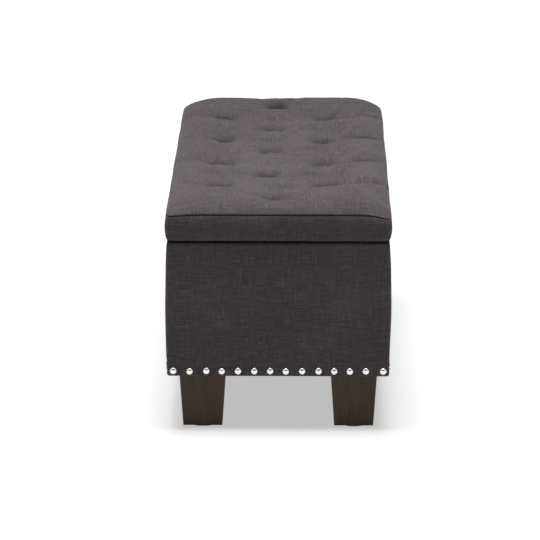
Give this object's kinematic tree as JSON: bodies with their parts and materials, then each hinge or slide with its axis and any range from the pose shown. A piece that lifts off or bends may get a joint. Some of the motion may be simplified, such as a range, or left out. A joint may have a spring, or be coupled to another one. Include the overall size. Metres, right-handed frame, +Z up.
{
  "type": "storage bench",
  "caption": "Upholstered storage bench with a button-tufted lift-up lid, nailhead trim along the lower edge and tapered block legs.",
  "frame": {"origin": "on the floor under the middle of the bench", "axes": "+X along the bench, +Y towards the hinged back, +Z up; the lid opens at -Y"},
  "size_m": [1.076, 0.434, 0.449],
  "materials": {
    "upholstery": "matt, slubby linen-look weave, charcoal",
    "lining_cloth": "matt black non-woven",
    "foam": "open-cell upholstery foam",
    "twine": "waxed twine",
    "panel_wood": "unfinished plywood",
    "leg_wood": "espresso stain under satin lacquer",
    "nail_metal": "polished nickel",
    "steel": "zinc plated",
    "glide_plastic": "black, moulded",
    "bumper_rubber": "black, moulded"
  },
  "bodies": {
    "base": {"box_cover": "upholstery", "inner_lining": "lining_cloth", "dust_cover": "lining_cloth", "padding_front": "foam", "padding_back": "foam", "padding_left": "foam", "padding_right": "foam", "front_panel": "panel_wood", "back_panel": "panel_wood", "left_panel": "panel_wood", "right_panel": "panel_wood", "floor_board": "panel_wood", "floor_battens": "panel_wood", "corner_blocks": "panel_wood", "leg_front_left": "leg_wood", "leg_front_right": "leg_wood", "leg_back_left": "leg_wood", "leg_back_right": "leg_wood", "nails_front": "nail_metal", "nails_back": "nail_metal", "nails_left": "nail_metal", "nails_right": "nail_metal", "hinge_left_box_leaf": "steel", "hinge_left_pin": "steel", "hinge_centre_box_leaf": "steel", "hinge_centre_pin": "steel", "hinge_right_box_leaf": "steel", "hinge_right_pin": "steel", "hinge_box_screws": "steel", "hanger_bolts": "steel", "tee_nuts": "steel", "stay_left_box_plate": "steel", "stay_right_box_plate": "steel", "stay_box_rivets": "steel", "stay_box_screws": "steel", "leg_glides": "glide_plastic"},
    "lid": {"lid_board": "panel_wood", "lid_foam": "foam", "lid_boxing": "upholstery", "lid_top_cover": "upholstery", "lid_lining": "lining_cloth", "tuft_buttons": "upholstery", "tuft_twine": "twine", "tuft_washers": "steel", "hinge_lid_screws": "steel", "stay_lid_rivets": "steel", "stay_lid_screws": "steel", "lid_bumpers": "bumper_rubber", "hinge_left_lid_leaf": "steel", "hinge_centre_lid_leaf": "steel", "hinge_right_lid_leaf": "steel", "stay_left_lid_bracket": "steel", "stay_right_lid_bracket": "steel"},
    "stay_lower_left": {"stay_left_lower_arm": "steel"},
    "stay_upper_left": {"stay_left_upper_arm": "steel", "stay_left_elbow_rivet": "steel"},
    "stay_lower_right": {"stay_right_lower_arm": "steel"},
    "stay_upper_right": {"stay_right_upper_arm": "steel", "stay_right_elbow_rivet": "steel"}
  },
  "joints": [
    {"name": "lid_hinge", "type": "hinge", "parent": "base", "child": "lid", "pos_m": [0, 0.2115, 0.3765], "axis": [-1, 0, 0], "range_deg": [0, 85]},
    {"name": "stay_lower_left_pivot", "type": "hinge", "parent": "base", "child": "stay_lower_left", "pos_m": [-0.5104, 0.1535, 0.2845], "axis": [-1, 0, 0], "range_deg": [0, 85]},
    {"name": "stay_upper_left_pivot", "type": "hinge", "parent": "lid", "child": "stay_upper_left", "pos_m": [-0.508, 0.0715, 0.3635], "axis": [-1, 0, 0], "range_deg": [-85, 0]},
    {"name": "stay_lower_right_pivot", "type": "hinge", "parent": "base", "child": "stay_lower_right", "pos_m": [0.5104, 0.1535, 0.2845], "axis": [-1, 0, 0], "range_deg": [0, 85]},
    {"name": "stay_upper_right_pivot", "type": "hinge", "parent": "lid", "child": "stay_upper_right", "pos_m": [0.508, 0.0715, 0.3635], "axis": [-1, 0, 0], "range_deg": [-85, 0]}
  ],
  "couplings": [
    {"joint": "stay_lower_left_pivot", "follows": "lid_hinge", "ratio": 1},
    {"joint": "stay_upper_left_pivot", "follows": "lid_hinge", "ratio": -1},
    {"joint": "stay_lower_right_pivot", "follows": "lid_hinge", "ratio": 1},
    {"joint": "stay_upper_right_pivot", "follows": "lid_hinge", "ratio": -1}
  ]
}
